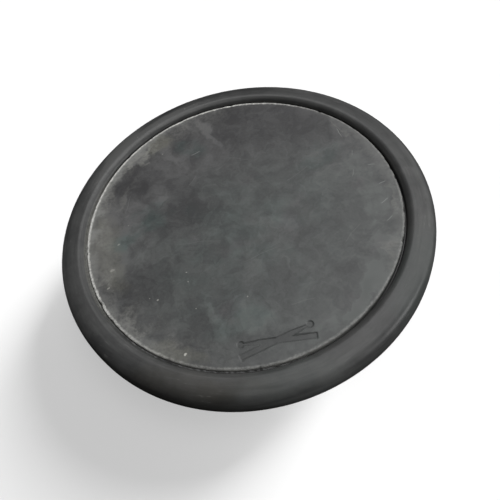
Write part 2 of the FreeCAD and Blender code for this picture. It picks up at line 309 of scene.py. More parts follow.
def make_playing_disc():
    """Rubber disc with a slightly wavy top, a worn and nicked edge and the pressed emblem."""
    nicks = edge_nicks()

    def shape(radius, height, angle):
        x, y = on_circle(radius, angle)
        wear = 0.12 * (1 + bumps(x, y, 0, 9)) + 0.05 * (1 + bumps(x, y, 0, 2.5, 4))
        for where, width, depth in nicks:
            off = abs((angle - where + 180) % 360 - 180)
            if off < width:
                wear += depth * (1 - smooth(off, 0, width))
        wear *= smooth(radius, DISC_RADIUS - EDGE_BAND, DISC_RADIUS) * smooth(height, DISC_BOTTOM, DISC_TOP)
        if height < DISC_TOP - 0.01:
            return radius - wear, height - 0.6 * wear
        waves = 0.05 * (1 + bumps(x, y, 0, 38)) + 0.02 * (1 + bumps(x, y, 0, 11, 2))
        return radius - wear, height - waves - 0.25 * wear - emblem_depth(x, y)

    flat = DISC_RADIUS - EDGE_ROUND
    section = [(0, DISC_TOP)] + straights(4, (3, DISC_TOP), (EMBLEM_INNER, DISC_TOP))
    section += straights(0.3, (EMBLEM_INNER, DISC_TOP), (EMBLEM_OUTER, DISC_TOP))
    section += straights(0.8, (EMBLEM_OUTER, DISC_TOP), (flat, DISC_TOP))
    section += quarter((flat, DISC_TOP), (DISC_RADIUS, DISC_TOP), (DISC_RADIUS, DISC_TOP - EDGE_ROUND), 6)
    section += straights(0.8, (DISC_RADIUS, DISC_TOP - EDGE_ROUND), (DISC_RADIUS, DISC_BOTTOM))
    section += straights(8, (DISC_RADIUS, DISC_BOTTOM), (3, DISC_BOTTOM))
    section += [(0, DISC_BOTTOM)]
    fine_start = EMBLEM_SIDE - EMBLEM_HALF_ANGLE
    fine_end = EMBLEM_SIDE + EMBLEM_HALF_ANGLE
    fine_count = int(2 * EMBLEM_HALF_ANGLE / EMBLEM_STEP)
    plain_count = int((360 - 2 * EMBLEM_HALF_ANGLE) / PLAIN_STEP)
    angles = [fine_start + EMBLEM_STEP * i for i in range(fine_count)]
    angles += [(fine_end + PLAIN_STEP * i) % 360 for i in range(plain_count)]
    points, faces = revolve(section, angles, shape, closed=False)
    disc = mesh_piece("playing_disc_rubber", points, faces)
    pressed = disc.data.attributes.new("pressed", "FLOAT", "POINT")
    half_way_up = (DISC_BOTTOM + DISC_TOP) / 2
    for item, (x, y, z) in zip(pressed.data, points):
        if z > half_way_up:
            item.value = emblem_depth(x, y) / EMBLEM_DEPTH
    return disc


# ---------------------------------------------------------------- rim ring

def rim_section():
    """The ring's outline, from the foot of its bore, over the crown and back under the lip."""
    ledge = FOAM_RADIUS + FIT_GAP
    lip_out = RIM_RADIUS - UNDER_ROUND
    lip_in = COVER_RADIUS + LIP_GAP
    lip_top = RIM_BOTTOM + LIP_CHAMFER
    slot = FLANGE_RADIUS + GRIP_GAP
    rib_out = RIB_OUTER_RADIUS + GRIP_GAP
    rib_in = RIB_INNER_RADIUS - GRIP_GAP
    rib_top = RIB_TOP + GRIP_GAP
    section = straights(2, (ledge, DECK_TOP), (ledge, DISC_BOTTOM), (RECESS_RADIUS, DISC_BOTTOM))
    section += straights(0.5, (RECESS_RADIUS, DISC_BOTTOM), (RECESS_RADIUS, GROOVE_FLOOR))
    section += straights(0.3, (RECESS_RADIUS, GROOVE_FLOOR), (GROOVE_RADIUS, GROOVE_FLOOR))
    section += quarter((GROOVE_RADIUS, GROOVE_FLOOR), (GROOVE_RADIUS, RIM_TOP), (CROWN_RADIUS, RIM_TOP), 20)
    section += quarter((CROWN_RADIUS, RIM_TOP), (RIM_RADIUS, RIM_TOP), (RIM_RADIUS, WALL_TOP), 44,
                       RIM_FULLNESS)
    section += straights(0.6, (RIM_RADIUS, WALL_TOP), (RIM_RADIUS, WALL_BOTTOM))
    section += quarter((RIM_RADIUS, WALL_BOTTOM), (RIM_RADIUS, RIM_BOTTOM), (lip_out, RIM_BOTTOM), 8)
    section += straights(1, (lip_out, RIM_BOTTOM), (lip_in + LIP_CHAMFER, RIM_BOTTOM))
    section += straights(0.3, (lip_in + LIP_CHAMFER, RIM_BOTTOM), (lip_in, lip_top))
    section += straights(1, (lip_in, lip_top), (lip_in, DECK_BOTTOM))
    section += straights(2, (lip_in, DECK_BOTTOM), (slot, DECK_BOTTOM), (slot, DECK_TOP),
                         (rib_out, DECK_TOP), (rib_out, rib_top), (rib_in, rib_top), (rib_in, DECK_TOP),
                         (ledge, DECK_TOP))
    return section


def make_rim_ring():
    """Soft rubber ring, a little uneven where it shows, with dust that partly fills its groove."""

    def shape(radius, height, angle):
        x, y = on_circle(radius, angle)
        outside = max(smooth(radius, RIM_RADIUS - 1, RIM_RADIUS),
                      smooth(height, GROOVE_FLOOR + 1, GROOVE_FLOOR + 4))
        settle = 0.04 * (1 + bumps(x, y, height, 45, 3)) + 0.015 * (1 + bumps(x, y, height, 9, 6))
        settle *= outside
        inward = smooth(radius, CROWN_RADIUS, RIM_RADIUS)
        if RECESS_RADIUS - 0.01 < radius < CROWN_RADIUS and height > GROOVE_FLOOR - 0.01:
            off = math.cos(math.radians(angle - PACKED_ANGLE))
            packed = PACKED_DEPTH * smooth(off, -0.1, 0.6) * (1 + 0.25 * bumps(x, y, 0, 2.2, 8))
            height = max(height, GROOVE_FLOOR + packed)
        return radius - settle * inward, height - settle * (1 - 0.6 * inward)

    points, faces = revolve(rim_section(), even_angles(RIM_COLUMNS), shape, closed=True)
    return mesh_piece("rim_ring_rubber", points, faces)


# ---------------------------------------------------------------- foam and feet

def make_foam():
    """Closed-cell foam disc, squeezed a little, so its side bellies out to the radius of its space."""

    def shape(radius, height, angle):
        side = 1 - ((height - FOAM_BOTTOM) / (FOAM_TOP - FOAM_BOTTOM) * 2 - 1) ** 2
        lump = bumps(*on_circle(radius, angle), height, 1.6)
        at_side = smooth(radius, FOAM_RADIUS - FOAM_BELLY, FOAM_RADIUS)
        return radius - at_side * (FOAM_BELLY * (1 - side) + 0.12 * (1 + lump)), height

    section = [(0, FOAM_TOP)] + straights(9, (6, FOAM_TOP), (FOAM_RADIUS, FOAM_TOP))
    section += straights(0.3, (FOAM_RADIUS, FOAM_TOP), (FOAM_RADIUS, FOAM_BOTTOM))
    section += straights(9, (FOAM_RADIUS, FOAM_BOTTOM), (6, FOAM_BOTTOM)) + [(0, FOAM_BOTTOM)]
    points, faces = revolve(section, even_angles(FOAM_COLUMNS), shape, closed=False)
    return mesh_piece("foam_cushion_cells", points, faces)


def make_feet():
    """Four moulded feet, each with two tread grooves, a rounded sole and a well for its screw."""
    side_low = (FOOT_SOLE_RADIUS + FOOT_DRAFT, FOOT_EDGE_ROUND)
    section = straights(1, (FOOT_HOLE_RADIUS, FOOT_TOP), (FOOT_RADIUS, FOOT_TOP))
    section += straights(0.6, (FOOT_RADIUS, FOOT_TOP), side_low)
    section += quarter(side_low, (FOOT_SOLE_RADIUS, 0), (FOOT_SOLE_RADIUS - FOOT_EDGE_ROUND, 0), 6)
    for middle in TREAD_RADII:
        section += [(middle + TREAD_WIDTH / 2, 0), (middle + TREAD_FLOOR / 2, TREAD_DEPTH)]
        section += [(middle - TREAD_FLOOR / 2, TREAD_DEPTH), (middle - TREAD_WIDTH / 2, 0)]
    section += [(FOOT_WELL_RADIUS + FOOT_WELL_CHAMFER, 0), (FOOT_WELL_RADIUS, FOOT_WELL_CHAMFER)]
    section += straights(0.8, (FOOT_WELL_RADIUS, 2 * FOOT_WELL_CHAMFER), (FOOT_WELL_RADIUS, FOOT_WELL_TOP))
    section += straights(1, (FOOT_WELL_RADIUS, FOOT_WELL_TOP), (FOOT_HOLE_RADIUS, FOOT_WELL_TOP))
    section += straights(0.8, (FOOT_HOLE_RADIUS, FOOT_WELL_TOP), (FOOT_HOLE_RADIUS, FOOT_TOP))
    foot, foot_faces = revolve(section, even_angles(FOOT_COLUMNS), lambda r, z, a: (r, z), closed=True)
    points = []
    faces = []
    for i in range(FOOT_COUNT):
        x0, y0 = on_circle(FOOT_CIRCLE, 360 * (i + 0.5) / FOOT_COUNT)
        first = len(points)
        points += [(x0 + x, y0 + y, z) for x, y, z in foot]
        faces += [tuple(first + corner for corner in face) for face in foot_faces]
    return mesh_piece("rubber_feet_moulded", points, faces)


# ---------------------------------------------------------------- materials

STREAK_RADIUS = 120  # streaks round the axis have their true length here
MARK_HALF_HEIGHT = 1000  # so large that a mark looks the same at any height
DUST = (0.26, 0.26, 0.24)
# Where a colour mix node has its two colours and its result
MIX_FIRST = 6
MIX_SECOND = 7
MIX_RESULT = 2


class Nodes:
    """The node tree of a material or the world, with short calls for the nodes used here."""

    def __init__(self, owner):
        self.owner = owner
        owner.use_nodes = True
        self.tree = owner.node_tree
        self.tree.nodes.clear()

    def add(self, kind, **settings):
        """A new node with its settings."""
        node = self.tree.nodes.new(kind)
        for key, value in settings.items():
            setattr(node, key, value)
        return node

    def plug(self, socket, value):
        """Sets an input to a number, a colour or another node's output."""
        if isinstance(value, bpy.types.NodeSocket):
            self.tree.links.new(value, socket)
        elif isinstance(value, (tuple, list)) and len(value) == 3 and socket.type == "RGBA":
            socket.default_value = (*value, 1)
        else:
            socket.default_value = value

    def math(self, operation, *values):
        """The result of a math node."""
        node = self.add("ShaderNodeMath", operation=operation)
        for socket, value in zip(node.inputs, values):
            self.plug(socket, value)
        return node.outputs[0]

    def cap(self, value):
        """A value held at 1 or less."""
        return self.math("MINIMUM", value, 1.0)

    def rest(self, value):
        """What a value leaves of 1."""
        return self.math("SUBTRACT", 1.0, value)

    def times(self, *values):
        """Product of all the values."""
        total = values[0]
        for value in values[1:]:
            total = self.math("MULTIPLY", total, value)
        return total

    def total(self, *terms):
        """Sum of terms, each a value and its weight."""
        total = 0.0
        for value, weight in terms:
            total = self.math("MULTIPLY_ADD", value, weight, total)
        return total

    def rise(self, value, start, end, low=0.0, high=1.0):
        """low where value is start, high where it is end, smooth between."""
        node = self.add("ShaderNodeMapRange", interpolation_type="SMOOTHSTEP")
        for socket, given in zip(node.inputs, (value, start, end, low, high)):
            self.plug(socket, given)
        return node.outputs[0]

    def vector(self, x, y, z):
        """A vector from its three parts."""
        node = self.add("ShaderNodeCombineXYZ")
        for socket, given in zip(node.inputs, (x, y, z)):
            self.plug(socket, given)
        return node.outputs[0]

    def vector_math(self, operation, *values):
        """The result of a vector math node, which is a number for DOT_PRODUCT and LENGTH."""
        node = self.add("ShaderNodeVectorMath", operation=operation)
        for socket, value in zip(node.inputs, values):
            self.plug(socket, value)
        return node.outputs["Value" if operation in ("DOT_PRODUCT", "LENGTH") else "Vector"]

    def mix(self, amount, first, second, blend="MIX"):
        """A colour that goes from first to second as amount goes from 0 to 1."""
        node = self.add("ShaderNodeMix", data_type="RGBA", blend_type=blend)
        self.plug(node.inputs["Factor"], amount)
        self.plug(node.inputs[MIX_FIRST], first)
        self.plug(node.inputs[MIX_SECOND], second)
        return node.outputs[MIX_RESULT]

    def tinted(self, colour, tint):
        """A colour times a tint."""
        return self.mix(1.0, colour, tint, "MULTIPLY")

    def for_camera(self, seen, others):
        """One shader for what the camera sees, and another for all other rays."""
        node = self.add("ShaderNodeMixShader")
        self.plug(node.inputs[0], self.add("ShaderNodeLightPath").outputs["Is Camera Ray"])
        self.plug(node.inputs[1], others)
        self.plug(node.inputs[2], seen)
        return node.outputs[0]


class Finish(Nodes):
    """A piece's material. Places and lengths are in millimetres."""

    def __init__(self, name):
        super().__init__(bpy.data.materials.new(name))
        position = self.add("ShaderNodeTexCoord").outputs["Object"]
        self.place = self.vector_math("MULTIPLY", position, (1 / MM, 1 / MM, 1 / MM))
        split = self.add("ShaderNodeSeparateXYZ")
        self.plug(split.inputs[0], self.place)
        self.x, self.y, self.z = split.outputs

    def radius(self):
        """Distance from the pad's axis."""
        squares = self.total((self.times(self.x, self.x), 1), (self.times(self.y, self.y), 1))
        return self.math("SQRT", squares)

    def towards(self, angle, start, end):
        """1 on the side that faces angle, 0 away from it. start and end are cosines of the angle off it."""
        x, y = on_circle(1, angle)
        along = self.total((self.x, x), (self.y, y))
        return self.rise(self.math("DIVIDE", along, self.radius()), start, end)

    def around(self, along, across):
        """Places stretched round the pad's axis: features are along long near the rim, and across wide."""
        radius = self.radius()
        reach = STREAK_RADIUS / along
        return self.vector(self.times(self.math("DIVIDE", self.x, radius), reach),
                           self.times(self.math("DIVIDE", self.y, radius), reach),
                           self.total((radius, 1 / across), (self.z, 1 / across)))

    def noise_node(self, place, size, detail=3.0, rough=0.5, swirl=0.0):
        """A noise texture with features about size across."""
        node = self.add("ShaderNodeTexNoise")
        self.plug(node.inputs["Vector"], place)
        self.plug(node.inputs["Scale"], 1 / size)
        self.plug(node.inputs["Detail"], detail)
        self.plug(node.inputs["Roughness"], rough)
        self.plug(node.inputs["Distortion"], swirl)
        return node

    def noise(self, size, detail=3.0, rough=0.5, swirl=0.0, shift=(0, 0, 0), place=None, stretch=(1, 1, 1)):
        """Noise from 0 to 1. stretch scales its places, and shift moves them to another part of it."""
        mapping = self.add("ShaderNodeMapping")
        self.plug(mapping.inputs["Vector"], place or self.place)
        self.plug(mapping.inputs["Location"], shift)
        self.plug(mapping.inputs["Scale"], stretch)
        return self.noise_node(mapping.outputs[0], size, detail, rough, swirl).outputs["Fac"]

    def ragged(self, size, reach, place=None):
        """Places pushed about by up to reach or so, which gives a mark an uneven outline."""
        place = place or self.place
        uneven = self.noise_node(place, size).outputs["Color"]
        # Noise is mostly from 0.25 to 0.75, so 4 times its distance from 0.5 is mostly from -1 to 1
        spread = (4 * reach, 4 * reach, 0)
        middle = (-2 * reach, -2 * reach, 0)
        return self.vector_math("ADD", place, self.vector_math("MULTIPLY_ADD", uneven, spread, middle))

    def local(self, place, x, y, length, width, turn):
        """Places measured from x, y, in half lengths along a mark and half widths across it."""
        mapping = self.add("ShaderNodeMapping", vector_type="TEXTURE")
        self.plug(mapping.inputs["Vector"], place)
        self.plug(mapping.inputs["Location"], (x, y, 0))
        self.plug(mapping.inputs["Rotation"], (0, 0, math.radians(turn)))
        self.plug(mapping.inputs["Scale"], (length / 2, width / 2, MARK_HALF_HEIGHT))
        return mapping.outputs[0]

    def ovals(self, table, place, soft=0.9):
        """Soft oval marks, each given as x, y, length, width, turn and strength."""
        total = 0.0
        for x, y, length, width, turn, strength in table:
            away = self.vector_math("LENGTH", self.local(place, x, y, length, width, turn))
            mark = self.rise(away, 1 + soft / 2, 1 - soft / 2)
            total = self.math("MULTIPLY_ADD", mark, strength, total)
        return total

    def scratches(self, table, place):
        """Fine straight marks with faded ends, each given as x, y, length, width, turn and strength."""
        total = 0.0
        for x, y, length, width, turn, strength in table:
            split = self.add("ShaderNodeSeparateXYZ")
            self.plug(split.inputs[0], self.local(place, x, y, length, width, turn))
            along = self.rise(self.math("ABSOLUTE", split.outputs[0]), 1, 0.4)
            across = self.rise(self.math("ABSOLUTE", split.outputs[1]), 1, 0.2)
            total = self.math("MULTIPLY_ADD", self.times(along, across), strength, total)
        return total

    def specks(self, spacing, size, share, shift=(0, 0, 0)):
        """Small round specks. share is the part of the cells, each spacing wide, that have one."""
        mapping = self.add("ShaderNodeMapping")
        self.plug(mapping.inputs["Vector"], self.ragged(2 * size, 0.25 * size))
        self.plug(mapping.inputs["Location"], shift)
        node = self.add("ShaderNodeTexVoronoi")
        self.plug(node.inputs["Vector"], mapping.outputs[0])
        self.plug(node.inputs["Scale"], 1 / spacing)
        split = self.add("ShaderNodeSeparateColor")
        self.plug(split.inputs[0], node.outputs["Color"])
        chosen = self.math("LESS_THAN", split.outputs[0], share)
        reach = self.total((split.outputs[1], size / spacing))
        return self.times(chosen, self.rise(node.outputs["Distance"], reach, self.times(reach, 0.4)))

    def bump(self, height):
        """A normal from a height in millimetres."""
        node = self.add("ShaderNodeBump")
        self.plug(node.inputs["Strength"], 1)
        self.plug(node.inputs["Distance"], MM)
        self.plug(node.inputs["Height"], height)
        return node.outputs[0]

    def surface(self, colour, roughness, height, **more):
        """The finished material. more has other inputs of its shader, with _ for each space."""
        shader = self.add("ShaderNodeBsdfPrincipled")
        self.plug(shader.inputs["Base Color"], colour)
        self.plug(shader.inputs["Roughness"], roughness)
        self.plug(shader.inputs["Normal"], self.bump(height))
        for key, value in more.items():
            self.plug(shader.inputs[key.replace("_", " ")], value)
        output = self.add("ShaderNodeOutputMaterial")
        self.plug(output.inputs["Surface"], shader.outputs[0])
        return self.owner


# Marks on the playing disc, each as x, y, length, width, turn and strength
LIGHT_MARKS = (
    (-8, 84, 22, 10, 100, 0.75),  # oval smudge near the far edge, and its tail
    (-3, 70, 18, 5, 115, 0.4),
    (-55, 77, 20, 9, 48, 1.4),  # under the wiped dust on the far left
    (-36, 72, 26, 7, 110, 0.4),
    (-40, 60, 34, 22, 10, 0.22),
    (-50, 31, 13, 9, 30, 0.5),
    (-74, 28, 34, 28, 20, 0.3),
    (-68, 3, 26, 30, 0, 0.35),
    (-86, 8, 24, 50, 0, 0.5),  # dusty side on the left
    (-85, -12, 6, 5, 0, 0.7),
    (-30, -64, 26, 7, 95, 0.4),
    (-8, -74, 26, 16, 0, 0.35),
    (5, 5, 60, 44, 20, 0.12),
    (34, 34, 14, 10, 20, 0.3),
    (62, 30, 26, 12, 20, 0.25),
    (55, 8, 60, 12, 15, 0.2),
    (30, -14, 60, 14, 0, 0.22),
    (84, 18, 16, 60, 8, 0.35),
    (82, -14, 14, 44, -12, 0.35),
    (76, -48, 18, 14, 30, 0.6),
    (50, -79, 34, 7, 30, 0.75),  # wiped streaks right of the emblem
    (64, -68, 30, 9, 44, 0.55),
    (74, -58, 14, 7, 50, 0.5),
    (35, -88, 30, 9, 25, 0.35),
)
DARK_MARKS = (
    (-66, 55, 36, 34, 40, 0.55),
    (-36, 13, 48, 26, -20, 0.3),
    (-62, -31, 46, 30, 20, 0.28),
    (-86, -24, 18, 16, 0, 0.45),
    (-48, -66, 44, 24, -30, 0.2),
    (-12, -33, 12, 10, 0, 0.4),
    (14, -54, 22, 20, 0, 0.5),
    (40, -26, 34, 22, -15, 0.45),
    (50, -58, 18, 9, -10, 0.45),
    (30, 74, 80, 44, -10, 0.5),
    (62, 56, 34, 26, -40, 0.4),
    (-10, 20, 50, 40, 20, 0.15),
)
GREEN_MARKS = (
    (24, -38, 200, 158, 8, 1.0),  # the greener middle and near side; the rest of the disc is a warmer grey
)
TEAL_MARKS = (
    (-50, 18, 34, 20, 10, 0.9),
    (-76, 8, 20, 14, 0, 0.6),
    (-20, 70, 22, 12, -35, 0.7),
    (60, 30, 30, 18, 10, 0.5),
    (0, -20, 110, 90, 20, 0.3),
    (-15, -70, 40, 20, 10, 0.4),
)
YELLOW_MARKS = (
    (-42, 86, 22, 16, 120, 1.1),
    (-90, 8, 22, 50, 0, 0.6),
    (-84, -18, 14, 20, 0, 0.5),
    (-60, -79, 34, 10, -38, 0.8),
)
DUST_STREAKS = (
    (-55, 80, 24, 3.6, 38, 0.55),  # wiped dust on the far left
    (-51, 75, 3.4, 14, 0, 0.45),
    (-43, 80, 3.6, 14, 16, 0.35),
    (-64, 70, 16, 3, 52, 0.45),
    (-88, 14, 9, 26, 8, 0.3),
    (-91, -12, 7, 20, -6, 0.3),
    (-70, 40, 4, 16, -30, 0.2),
    (-80, -50, 4, 20, 26, 0.25),
    (78, -57, 18, 3, 54, 0.3),  # streaks along the right side
    (92, -22, 3, 22, -12, 0.25),
    (84, 46, 3, 16, 24, 0.25),
)
WHITE_SPOTS = (
    (-51, -81, 1.8, 1.4, 20, 0.9),
    (-61, -42, 1.2, 0.9, 0, 0.5),
    (-41, -29, 1.2, 0.9, 0, 0.55),
    (-41, -36, 0.9, 0.8, 0, 0.4),
    (-40, -55, 1.0, 0.8, 0, 0.35),
    (-9, -57, 1.0, 0.8, 0, 0.4),
    (-90, -24, 2.0, 1.2, 40, 0.4),
    (-80, 6, 1.8, 1.0, 20, 0.35),
    (-86, -12, 3.4, 1.8, 10, 0.35),
)
SCRATCHES = (
    (-17, 63.5, 9, 0.9, 12, 0.5),
    (81, 44, 12, 0.7, 95, 0.5),
    (78, 8, 8, 0.7, 60, 0.35),
    (5, -32, 30, 0.6, 8, 0.14),
    (-30, -10, 36, 0.6, -12, 0.12),
    (44, 20, 26, 0.6, 24, 0.14),
    (10, 48, 24, 0.6, -30, 0.12),
    (62, -36, 22, 0.6, 40, 0.15),
    (-70, 36, 18, 0.7, 70, 0.18),
    (20, -70, 20, 0.6, 3, 0.14),
    (-24, 40, 16, 0.6, 50, 0.14),
    (88, -20, 7, 1.0, 20, 0.5),
    (92, -6, 6, 1.0, 10, 0.5),
    (91, 10, 6, 0.9, -15, 0.45),
    (86, -33, 7, 0.9, 30, 0.4),
    (83, 24, 5, 0.9, 70, 0.35),
)


def disc_haze(n, place, cloud, mottle, grain, light, dark):
    """Grey clouds and patches, with the light and dark marks."""
    wide_patch = n.rise(n.noise(19, detail=3, swirl=0.8, place=place, shift=(8, 2, 0)), 0.46, 0.56)
    small_patch = n.rise(n.noise(7, detail=3, swirl=0.8, place=place, shift=(1, 17, 0)), 0.48, 0.58)
    tone = n.total((n.rise(cloud, 0.3, 0.7), 0.18), (n.rise(mottle, 0.3, 0.7), 0.26), (wide_patch, 0.17),
                   (small_patch, 0.16), (light, 0.95), (dark, -0.48), (n.rise(grain, 0.3, 0.7), 0.14),
                   (1.0, -0.02))
    tone = n.math("MAXIMUM", n.cap(tone), 0.0)
    return n.mix(tone, (0.040, 0.040, 0.0415), (0.128, 0.130, 0.129))


def disc_tints(n, place, grain, colour):
    """A colour with faint green, teal and yellow patches."""
    patchy = n.rise(n.noise(22, detail=3, shift=(90, 5, 0)), 0.25, 0.42)
    green = n.times(n.ovals(GREEN_MARKS, n.ragged(30, 14)), patchy)
    colour = n.mix(green, n.tinted(colour, (1.017, 1.0, 1.012)), n.tinted(colour, (0.968, 1.028, 1.0)))
    patchy = n.rise(n.noise(16, detail=4, shift=(5, 50, 0)), 0.35, 0.65)
    teal = n.times(n.ovals(TEAL_MARKS, place), patchy)
    colour = n.mix(n.times(teal, 0.9), colour, n.tinted(colour, (0.72, 1.03, 0.97)))
    yellow = n.times(n.ovals(YELLOW_MARKS, place), n.rise(grain, 0.25, 0.7, 0.4, 1.0))
    return n.mix(n.times(yellow, 0.5), colour, (0.175, 0.17, 0.128))


def disc_margin(n, radius, mottle, fine):
    """How rubbed the disc is just inside its edge: mostly on the left, and a little on the right."""
    side = n.total((n.towards(165, 0.1, 0.75), 0.85), (n.towards(145, 0.7, 0.95), 1.1),
                   (n.towards(0, 0.6, 1.0), 0.65), (1.0, 0.04))
    reach = n.total((radius, 1), (n.rise(mottle, 0.3, 0.7), 5))
    reach = n.rise(reach, DISC_RADIUS - 6.5, DISC_RADIUS + 1.5)
    return n.times(reach, side, n.rise(fine, 0.25, 0.6, 0.55, 1.1))


def disc_edge(n, radius):
    """How white the edge is worn, most of all on the far left, and the wall below it on the near left."""
    side = n.total((n.towards(135, -0.35, 0.7), 0.78), (1.0, 0.24))
    reach = n.total((radius, 1), (n.noise(3.2, detail=4), 1.9), (side, 0.5))
    reach = n.rise(reach, DISC_RADIUS - 1.1, DISC_RADIUS + 0.5)
    uneven = n.rise(n.noise(1.6, detail=4, shift=(9, 3, 0)), 0.34, 0.6, 0.45, 1.1)
    worn = n.times(reach, side, uneven, n.rise(n.z, DISC_TOP - 3.2, DISC_TOP - 1.2))
    wall = n.times(n.rise(radius, DISC_RADIUS - 0.6, DISC_RADIUS - 0.1), n.towards(235, 0.1, 0.8))
    return n.total((worn, 1), (wall, 0.35))


def emblem_painted_light(n, colour):
    """A colour with a painted highlight round the emblem's outline and painted shade on its pressed floor.
    """
    pressed = n.add("ShaderNodeAttribute", attribute_name="pressed").outputs["Fac"]
    outline = n.times(n.rise(pressed, 0.02, 0.4), n.rise(pressed, 1.0, 0.6))
    # painted highlight round the emblem's outline
    colour = n.mix(n.times(outline, 0.55), colour, (0.16, 0.165, 0.16))
    # painted shade on the emblem's pressed floor
    return n.mix(n.times(n.rise(pressed, 0.5, 1.0), 0.45), colour, (0.036, 0.037, 0.037))


def worn_disc_rubber():
    """Black rubber gone grey, with haze, wiped dust, stains, a whitened edge, specks, fine scratches and
    painted light on the emblem.
    """
    n = Finish("worn_playing_rubber_with_painted_light")
    radius = n.radius()
    place = n.ragged(7, 2.2, n.ragged(26, 6))
    cloud = n.noise(34, detail=6, rough=0.55, swirl=0.5)
    mottle = n.noise(12, detail=5, rough=0.55, swirl=0.3, shift=(31, 7, 0))
    grain = n.noise(1.6, detail=3, rough=0.6)
    fine = n.noise(2.2, detail=5, rough=0.7, shift=(2, 9, 0))
    breakup = n.rise(mottle, 0.3, 0.62, 0.45, 1.25)
    light = n.times(n.ovals(LIGHT_MARKS, place, soft=0.7), breakup)
    dark = n.times(n.ovals(DARK_MARKS, place, soft=0.6), breakup)
    colour = disc_haze(n, place, cloud, mottle, grain, light, dark)
    colour = disc_tints(n, place, grain, colour)

    streaks = n.ovals(DUST_STREAKS, n.ragged(5, 2.6, place), soft=1.2)
    wiped = n.times(streaks, n.rise(fine, 0.3, 0.6, 0.4, 1.1))
    colour = n.mix(n.cap(wiped), colour, (0.30, 0.30, 0.275))
    left = n.towards(165, -0.2, 0.7)
    drift = n.rise(n.noise(15, detail=4, swirl=0.6, shift=(40, 9, 0)), 0.36, 0.6)
    dust = n.times(left, n.rise(radius, 74, 101), n.rise(fine, 0.3, 0.75), drift)
    colour = n.mix(n.times(dust, 0.7), colour, DUST)
    colour = n.mix(n.times(disc_margin(n, radius, mottle, fine), 0.5), colour, (0.26, 0.262, 0.25))
    edge = disc_edge(n, radius)
    colour = n.mix(n.cap(edge), colour, (0.78, 0.78, 0.74))

    spots = n.ovals(WHITE_SPOTS, n.ragged(2, 0.4), soft=0.7)
    colour = n.mix(n.cap(spots), colour, (0.60, 0.59, 0.54))
    dust_specks = n.times(n.specks(2.6, 0.6, 0.4, (4, 8, 0)), dust)
    left_specks = n.times(n.specks(6.5, 0.7, 0.3, (2, 5, 0)), left, n.rise(radius, 40, 80))
    specks = n.total((n.specks(9, 0.6, 0.12), 0.35), (dust_specks, 0.9), (left_specks, 0.6))
    colour = n.mix(specks, colour, (0.42, 0.42, 0.38))
    # painted highlight and shade on the emblem
    colour = emblem_painted_light(n, colour)
    scratches = n.scratches(SCRATCHES, n.ragged(12, 0.8))
    colour = n.mix(scratches, colour, (0.34, 0.35, 0.34))

    roughness = n.total((1.0, 0.34), (cloud, 0.10), (light, 0.10), (dark, -0.03), (dust, 0.2), (edge, 0.2))
    height = n.total((n.noise(0.9, detail=2), 0.025), (grain, 0.03), (n.noise(5, detail=3), 0.05),
                     (dust, 0.04), (scratches, -0.05), (n.times(edge, n.noise(1.2)), 0.25))
    return n.surface(colour, roughness, height, Specular_IOR_Level=0.5)


# Marks on the rim, each as x, y, length, width, turn and strength
RIM_SMUDGES = (
    (-66, 90, 44, 11, 48, 0.9),  # rubbed patch on the far left
    (-30, 106, 30, 7, 15, 0.5),
    (112, -20, 60, 12, 82, 0.3),
    (110, -8, 6, 12, 0, 0.35),
    (98, -58, 40, 10, 62, 0.35),
    (40, -108, 60, 9, 22, 0.35),
    (2, -115, 84, 13, 3, 0.6),
    (-98, -52, 34, 8, -60, 0.25),
    (60, 100, 46, 9, -32, 0.25),
)
RIM_TEAL = (
    (88, -74, 60, 24, 50, 0.8),
    (0, -112, 60, 16, 0, 0.6),
)
RIM_BROWN = (
    (-60, -98, 60, 16, -32, 0.8),
    (-30, -110, 40, 10, -12, 0.6),
)


def groove_dust_and_painted_shade(n, out, colour):
    """A colour with pale dust packed in the groove on the left, and painted shade in the rest of it,
    darkest at the groove's foot.

    out is the distance from the groove's outer edge.
    """
    deep = n.rise(n.z, GROOVE_FLOOR + 4.7, GROOVE_FLOOR + 1.2)
    # painted shade: near black deep in the groove, except on the left side
    groove_painted_shade = n.times(n.rise(out, 2.1, 0), deep, n.rest(n.towards(195, -0.5, 0.35)))
    colour = n.mix(n.times(groove_painted_shade, 0.85), colour, (0.010, 0.010, 0.010))
    uneven = n.rise(n.noise(1.3, detail=4), 0.25, 0.65, 0.5, 1.0)
    lint = n.times(n.rise(out, 1.5, 0.2), n.towards(172, 0.72, 0.97), uneven)
    colour = n.mix(n.times(lint, 0.8), colour, DUST)
    # painted shade at the very foot of the groove, except on the left side
    crease_painted_shade = n.times(n.rise(out, 0.9, -0.1), deep, n.rest(n.towards(200, 0.45, 0.92)))
    return n.mix(n.times(crease_painted_shade, 0.8), colour, (0.008, 0.008, 0.008))


